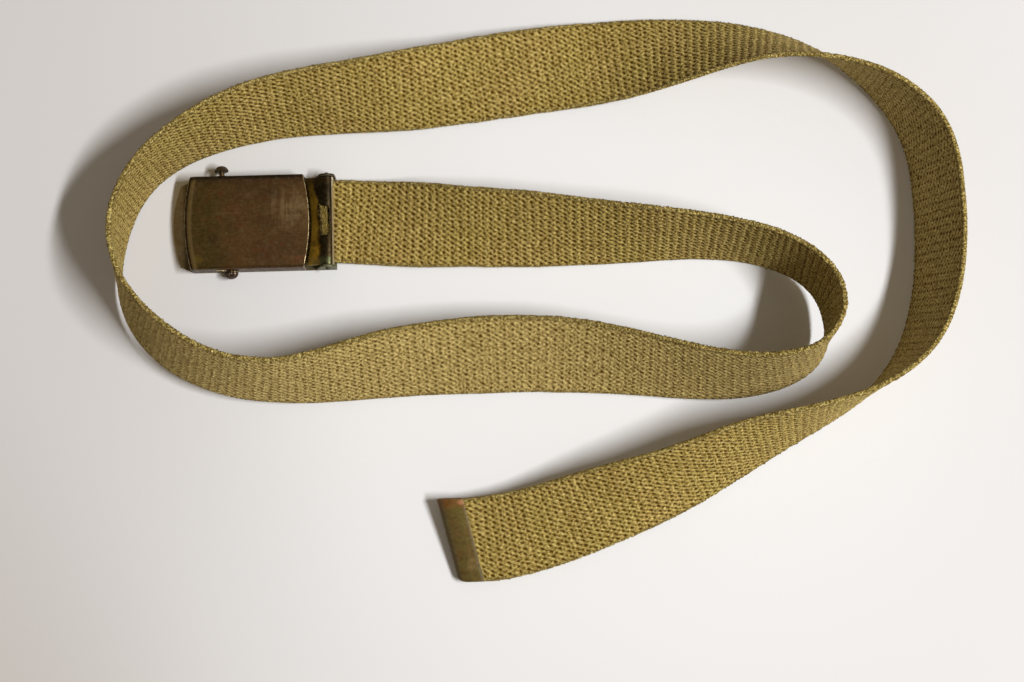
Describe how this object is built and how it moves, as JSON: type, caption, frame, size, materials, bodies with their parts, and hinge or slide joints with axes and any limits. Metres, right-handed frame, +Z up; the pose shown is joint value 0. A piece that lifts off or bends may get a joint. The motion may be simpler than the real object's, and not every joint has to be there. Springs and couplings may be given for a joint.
{
  "type": "web belt",
  "caption": "Cotton web trouser belt laid in loose loops, with a brass box buckle that has a sliding roller and a hinged clamp lever, and a folded brass tip.",
  "frame": {"origin": "middle of the buckle's base plate, on its underside, which is the surface the belt lies on", "axes": "+X along the buckle from its open end towards the clamped webbing, +Y across the buckle towards its upper side in the picture, +Z up from the surface"},
  "size_m": [0.311, 0.2099, 0.0391],
  "materials": {
    "bronze": "dark bronze patina, brushed and worn",
    "old_brass": "tarnished golden olive, satin",
    "tip_brass": "tarnished olive with reddish patches, satin",
    "gunmetal": "nearly black patina with rubbed highlights",
    "khaki_cotton": "coarse woven cotton webbing, matt"
  },
  "bodies": {
    "belt": {"base_frame": "bronze", "face_cover": "bronze", "hinge_pin": "gunmetal", "webbing": "khaki_cotton", "belt_tip": "tip_brass"},
    "clamp": {"clamp_lever": "old_brass"},
    "roller_bar": {"roller_axle": "old_brass", "roller_knob_north": "gunmetal", "roller_knob_south": "gunmetal"},
    "roller_tube": {"roller_sleeve": "old_brass"}
  },
  "joints": [
    {"name": "clamp_hinge", "type": "hinge", "parent": "belt", "child": "clamp", "pos_m": [0.0276, 0, 0.0059], "axis": [0, 1, 0], "range_deg": [0, 110]},
    {"name": "roller_slide", "type": "slide", "parent": "belt", "child": "roller_bar", "axis": [-0.9136, 0, 0.4067], "range_m": [-0.0017, 0.0017]},
    {"name": "roller_spin", "type": "hinge", "parent": "roller_bar", "child": "roller_tube", "pos_m": [-0.01005, 0.0006, 0.00472], "axis": [-0.0819, 0.996, 0.0365], "continuous": true}
  ]
}
